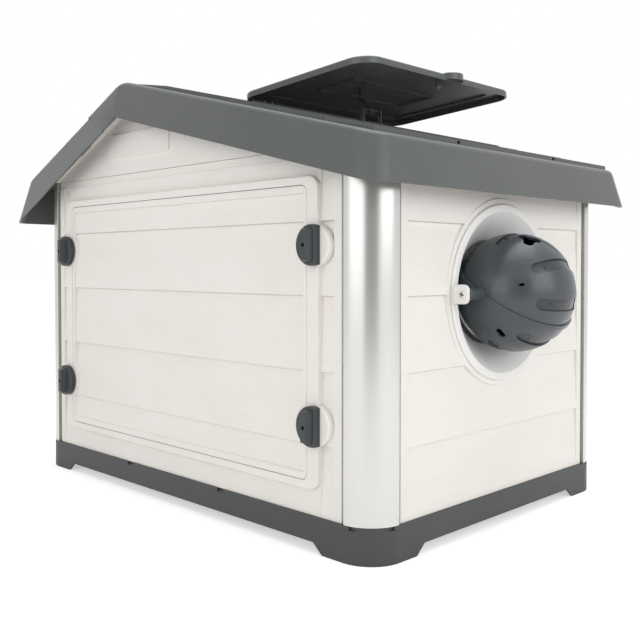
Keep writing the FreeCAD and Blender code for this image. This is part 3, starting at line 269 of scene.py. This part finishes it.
def makeCapPlastic():
    look = capLook
    graph = Graph("capPlastic")
    x, y, z = graph.add("SeparateXYZ", {"Vector": graph.place()}).outputs
    across = graph.sum("SUBTRACT", x, look["axis"][0])
    up = graph.sum("SUBTRACT", z, look["axis"][1])
    squares = graph.sum("ADD", graph.sum("MULTIPLY", across, across), graph.sum("MULTIPLY", up, up))
    reach = graph.sum("SQRT", squares)
    inside = graph.sum("LESS_THAN", reach, look["crossReach"])
    sunk = graph.sum("LESS_THAN", graph.sum("ABSOLUTE", y), look["crossDepth"])
    # painted shade inside the cross recess
    color = graph.mixColors(graph.sum("MULTIPLY", inside, sunk), screenColor(*look["color"]),
                            screenColor(*look["cross"]))
    grain = graph.noise(graph.place(), look["grain"], 2.0)
    rough = graph.between(grain, 0.3, 0.7, look["roughness"] - 0.03, look["roughness"] + 0.06)
    return graph.finish({"Base Color": color, "Roughness": rough,
                         "Normal": graph.bump(grain, look["grainDepth"], 0.5)})


# zinc plated screws and pins
screwLook = {"color": (176, 176, 172), "worn": (132, 130, 124), "roughness": 0.3, "wearDepth": 0.00005}


def makeScrewSteel():
    look = screwLook
    graph = Graph("screwSteel")
    place = graph.place()
    wear = graph.between(graph.noise(place, 260.0, 4.0, 0.65), 0.4, 0.62)
    color = graph.mixColors(wear, screenColor(*look["color"]), screenColor(*look["worn"]))
    rough = graph.between(wear, 0.0, 1.0, look["roughness"], look["roughness"] + 0.25)
    return graph.finish({"Base Color": color, "Metallic": 1.0, "Roughness": rough,
                         "Normal": graph.bump(wear, look["wearDepth"], 0.4)})


wallPlastic = makeWallPlastic()
postPlastic = makePostPlastic()
ballPlastic = makeBallPlastic()
feederPlastic = makeFeederPlastic()
screwSteel = makeScrewSteel()
capPlastic = makeCapPlastic()
greys = {name: makeGreyPlastic(name) for name in greyLooks}
print("plastics mixed")


# finish and edge rounding of each piece: material, edge radius in metres
finishes = {
    "base_tray": (greys["trayPlastic"], 0.0012), "floor_panel": (greys["floorPlastic"], 0.0006),
    "front_wall": (wallPlastic, 0.0008), "rear_wall": (wallPlastic, 0.0008),
    "right_wall": (wallPlastic, 0.0008), "left_wall": (wallPlastic, 0.0008),
    "front_gable": (wallPlastic, 0.0008), "rear_gable": (wallPlastic, 0.0008),
    "roof_right": (greys["roofPlastic"], 0.0012), "roof_left": (greys["roofPlastic"], 0.0012),
    "hatch_lid": (greys["roofPlastic"], 0.001), "door_panel": (wallPlastic, 0.0008),
    "door_liner": (wallPlastic, 0.0006), "button_pins": (screwSteel, 0.0003),
    "roof_screws": (screwSteel, 0.0002), "hatch_hinge_pins": (screwSteel, 0.0003),
    "stay_pin": (screwSteel, 0.0003), "stay_link": (greys["stayPlastic"], 0.0004),
    "stay_fork": (greys["stayPlastic"], 0.0004), "feeder_ring": (feederPlastic, 0.0008),
    "feeder_bracket_front": (feederPlastic, 0.0005), "feeder_bracket_rear": (feederPlastic, 0.0005),
    "axle_screws": (capPlastic, 0.0002), "ball_upper_shell": (ballPlastic, 0.0),
    "ball_lower_shell": (ballPlastic, 0.0),
}
for level in ("lower", "upper"):
    for side in ("left", "right"):
        finishes["turn_button_" + level + "_" + side] = (greys["buttonPlastic"], 0.0007)
for end in ("front", "rear"):
    for side in ("left", "right"):
        finishes["post_" + end + "_" + side] = (postPlastic, 0.0006)

roundingLook = {"weld": 0.00001, "flatAngle": 0.6, "edgeAngle": 32.0, "steps": 2, "normalWeight": 80}


# the roof's shoulders, between its slopes and the fascia, are rounded more than its other edges
shoulderLook = {
    "ridgeX": -0.13, "ridgeZ": 0.817, "ridgeRound": 0.078, "shoulderZ": 0.646,
    "halfWidth": 0.531, "leftExtra": 0.012, "halfDepth": 0.3795, "cornerRound": 0.048,
    "near": 0.0009, "nearEdge": 0.0025, "width": 0.008, "steps": 4,
}
shoulderInsets = {"roof_right": 0.0, "roof_left": 0.002}


def roofHeight(x, inset):
    # height of the slopes at x, with the ridge's round
    look = shoulderLook
    rise = look["ridgeZ"] - look["shoulderZ"]
    right = math.atan2(rise, look["halfWidth"] - look["ridgeX"])
    left = math.atan2(rise, look["halfWidth"] + look["ridgeX"])
    depth = look["ridgeRound"]
    drops = depth / math.cos(right), depth / math.cos(left)
    shift = (drops[1] - drops[0]) / (math.tan(right) + math.tan(left))
    middle = look["ridgeX"] + shift
    low = look["ridgeZ"] - drops[0] - shift * math.tan(right)
    if middle - depth * math.sin(left) < x < middle + depth * math.sin(right):
        return low + math.sqrt((depth - inset) ** 2 - (x - middle) ** 2)
    downRight = look["ridgeZ"] - inset / math.cos(right) - (x - look["ridgeX"]) * math.tan(right)
    downLeft = look["ridgeZ"] - inset / math.cos(left) + (x - look["ridgeX"]) * math.tan(left)
    return min(downRight, downLeft)


def onShoulder(point, inset):
    # true for a corner of the mesh that lies on the line where a slope meets the fascia
    look = shoulderLook
    if abs(point.z - roofHeight(point.x, inset)) > look["near"]:
        return False
    corner = look["cornerRound"] - inset
    reach = look["halfWidth"] + (look["leftExtra"] if point.x < 0 else 0.0)
    across = abs(point.x) - (reach - inset - corner)
    along = abs(point.y) - (look["halfDepth"] - inset - corner)
    if across > 0 and along > 0:
        away = math.hypot(across, along) - corner
    else:
        away = max(across, along) - corner
    return abs(away) < look["nearEdge"]


def roundShoulders(node, inset):
    look = shoulderLook
    group = node.vertex_groups.new(name="shoulder")
    chosen = [v.index for v in node.data.vertices if onShoulder(v.co, inset)]
    group.add(chosen, 1.0, "REPLACE")
    shoulder = node.modifiers.new("shoulder", "BEVEL")
    shoulder.width = look["width"]
    shoulder.segments = look["steps"]
    shoulder.limit_method = "VGROUP"
    shoulder.vertex_group = group.name
    shoulder.use_clamp_overlap = False
    print(node.name, "shoulder corners:", len(chosen))


def dressNode(name, material, edge):
    # an edge of 0 keeps the piece's own smooth shading, without modifiers
    node = nodes[name]
    mesh = node.data
    mesh.materials.clear()
    mesh.materials.append(material)
    if edge == 0:
        return
    if mesh.attributes.get("custom_normal"):
        mesh.attributes.remove(mesh.attributes["custom_normal"])
    mesh.shade_smooth()
    weld = node.modifiers.new("weld", "WELD")
    weld.merge_threshold = roundingLook["weld"]
    flat = node.modifiers.new("flat", "DECIMATE")
    flat.decimate_type = "DISSOLVE"
    flat.angle_limit = math.radians(roundingLook["flatAngle"])
    if name in shoulderInsets:
        roundShoulders(node, shoulderInsets[name])
    rounding = node.modifiers.new("rounding", "BEVEL")
    rounding.width = edge
    rounding.segments = roundingLook["steps"]
    rounding.limit_method = "ANGLE"
    rounding.angle_limit = math.radians(roundingLook["edgeAngle"])
    rounding.miter_outer = "MITER_ARC"
    shading = node.modifiers.new("shading", "WEIGHTED_NORMAL")
    shading.weight = roundingLook["normalWeight"]


for name, (material, edge) in finishes.items():
    dressNode(name, material, edge)
plain = sorted(set(nodes) - set(finishes))
print("pieces dressed:", len(finishes), "left plain:", plain)


# studio: pale floor, soft lamps and the camera
studio = {
    "floorSize": 60.0, "floorDrop": 0.0005, "floorColor": (236, 234, 234), "floorLift": 0.52,
    "skyWhite": 1.0, "skyLight": 0.62,
}


def makeFloor():
    mesh = bpy.data.meshes.new("floor")
    half = studio["floorSize"] / 2
    corners = [(-half, -half, 0), (half, -half, 0), (half, half, 0), (-half, half, 0)]
    mesh.from_pydata(corners, [], [(0, 1, 2, 3)])
    floor = bpy.data.objects.new("floor", mesh)
    bpy.context.scene.collection.objects.link(floor)
    floor.location.z = -studio["floorDrop"]
    graph = Graph("paleFloor")
    diffuse = graph.add("BsdfDiffuse", {"Color": screenColor(*studio["floorColor"])})
    rays = graph.add("LightPath")
    seen = graph.sum("MAXIMUM", rays.outputs["Is Camera Ray"],
                     graph.sum("MAXIMUM", rays.outputs["Is Glossy Ray"], rays.outputs["Is Transmission Ray"]))
    strength = graph.sum("MULTIPLY", seen, studio["floorLift"])
    lift = graph.add("Emission", {"Color": (1, 1, 1, 1), "Strength": strength})
    both = graph.add("AddShader", {0: diffuse.outputs[0], 1: lift.outputs[0]})
    graph.tree.links.new(both.outputs[0], graph.output.inputs["Surface"])
    mesh.materials.append(graph.material)


def makeSky():
    world = bpy.data.worlds.new("studioWorld")
    bpy.context.scene.world = world
    world.use_nodes = True
    tree = world.node_tree
    tree.nodes.clear()
    output = tree.nodes.new("ShaderNodeOutputWorld")
    rays = tree.nodes.new("ShaderNodeLightPath")
    seen = tree.nodes.new("ShaderNodeMath")
    seen.operation = "MAXIMUM"
    glass = tree.nodes.new("ShaderNodeMath")
    glass.operation = "MAXIMUM"
    tree.links.new(rays.outputs["Is Glossy Ray"], glass.inputs[0])
    tree.links.new(rays.outputs["Is Transmission Ray"], glass.inputs[1])
    tree.links.new(rays.outputs["Is Camera Ray"], seen.inputs[0])
    tree.links.new(glass.outputs[0], seen.inputs[1])
    strength = tree.nodes.new("ShaderNodeMapRange")
    strength.inputs["To Min"].default_value = studio["skyLight"]
    strength.inputs["To Max"].default_value = studio["skyWhite"]
    tree.links.new(seen.outputs[0], strength.inputs["Value"])
    light = tree.nodes.new("ShaderNodeBackground")
    light.inputs["Color"].default_value = (1, 1, 1, 1)
    tree.links.new(strength.outputs["Result"], light.inputs["Strength"])
    tree.links.new(light.outputs[0], output.inputs["Surface"])


# place, aim, size in metres and power in watts
lamps = {
    "frontBox": {"at": (0.5, -3.3, 1.3), "aim": (-0.1, 0.0, 0.5), "size": (2.8, 2.0), "power": 26.0},
    "sideBox": {"at": (3.4, -0.1, 1.6), "aim": (0.2, 0.0, 0.45), "size": (2.2, 2.0), "power": 34.0},
    "topBox": {"at": (0.3, 0.3, 3.4), "aim": (0.0, 0.0, 0.0), "size": (2.6, 2.6), "power": 52.0},
}


def makeLamps():
    for name, lamp in lamps.items():
        light = bpy.data.lights.new(name, "AREA")
        light.shape = "RECTANGLE"
        light.size, light.size_y = lamp["size"]
        light.energy = lamp["power"]
        holder = bpy.data.objects.new(name, light)
        bpy.context.scene.collection.objects.link(holder)
        holder.location = lamp["at"]
        holder.rotation_euler = (Vector(lamp["aim"]) - Vector(lamp["at"])).to_track_quat("-Z", "Y").to_euler()


# dark card on the camera's side, hidden from the camera and seen in reflections, mostly in the posts
cardLook = {"at": (2.75, -2.65, 0.6), "turn": 44.949, "width": 2.5, "height": 3.2, "color": (62, 62, 60)}


def makeCard():
    look = cardLook
    wide, high = look["width"] / 2, look["height"] / 2
    mesh = bpy.data.meshes.new("card")
    corners = [(-wide, 0, -high), (wide, 0, -high), (wide, 0, high), (-wide, 0, high)]
    mesh.from_pydata(corners, [], [(0, 1, 2, 3)])
    card = bpy.data.objects.new("card", mesh)
    bpy.context.scene.collection.objects.link(card)
    card.location = look["at"]
    card.rotation_euler.z = math.radians(look["turn"])
    graph = Graph("cardGrey")
    glow = graph.add("Emission", {"Color": screenColor(*look["color"]), "Strength": 1.0})
    graph.tree.links.new(glow.outputs[0], graph.output.inputs["Surface"])
    mesh.materials.append(graph.material)
    card.visible_camera = False
    card.visible_diffuse = False
    card.visible_shadow = False


cameraPlace = {
    "at": (1.3237, -1.2816, 0.4536), "turn": 44.949, "down": 1.2134,
    "lens": 47.53, "shiftY": -0.056, "sensor": 36.0, "farthest": 200.0,
}


def makeCamera():
    camera = bpy.data.cameras.new("camera")
    camera.sensor_width = cameraPlace["sensor"]
    camera.lens = cameraPlace["lens"]
    camera.shift_y = cameraPlace["shiftY"]
    camera.clip_end = cameraPlace["farthest"]
    holder = bpy.data.objects.new("camera", camera)
    bpy.context.scene.collection.objects.link(holder)
    holder.location = cameraPlace["at"]
    holder.rotation_euler = (math.radians(90 - cameraPlace["down"]), 0.0, math.radians(cameraPlace["turn"]))
    bpy.context.scene.camera = holder


makeFloor()
makeSky()
makeLamps()
makeCard()
makeCamera()
bpy.context.scene.view_settings.view_transform = "Standard"
print("studio set")
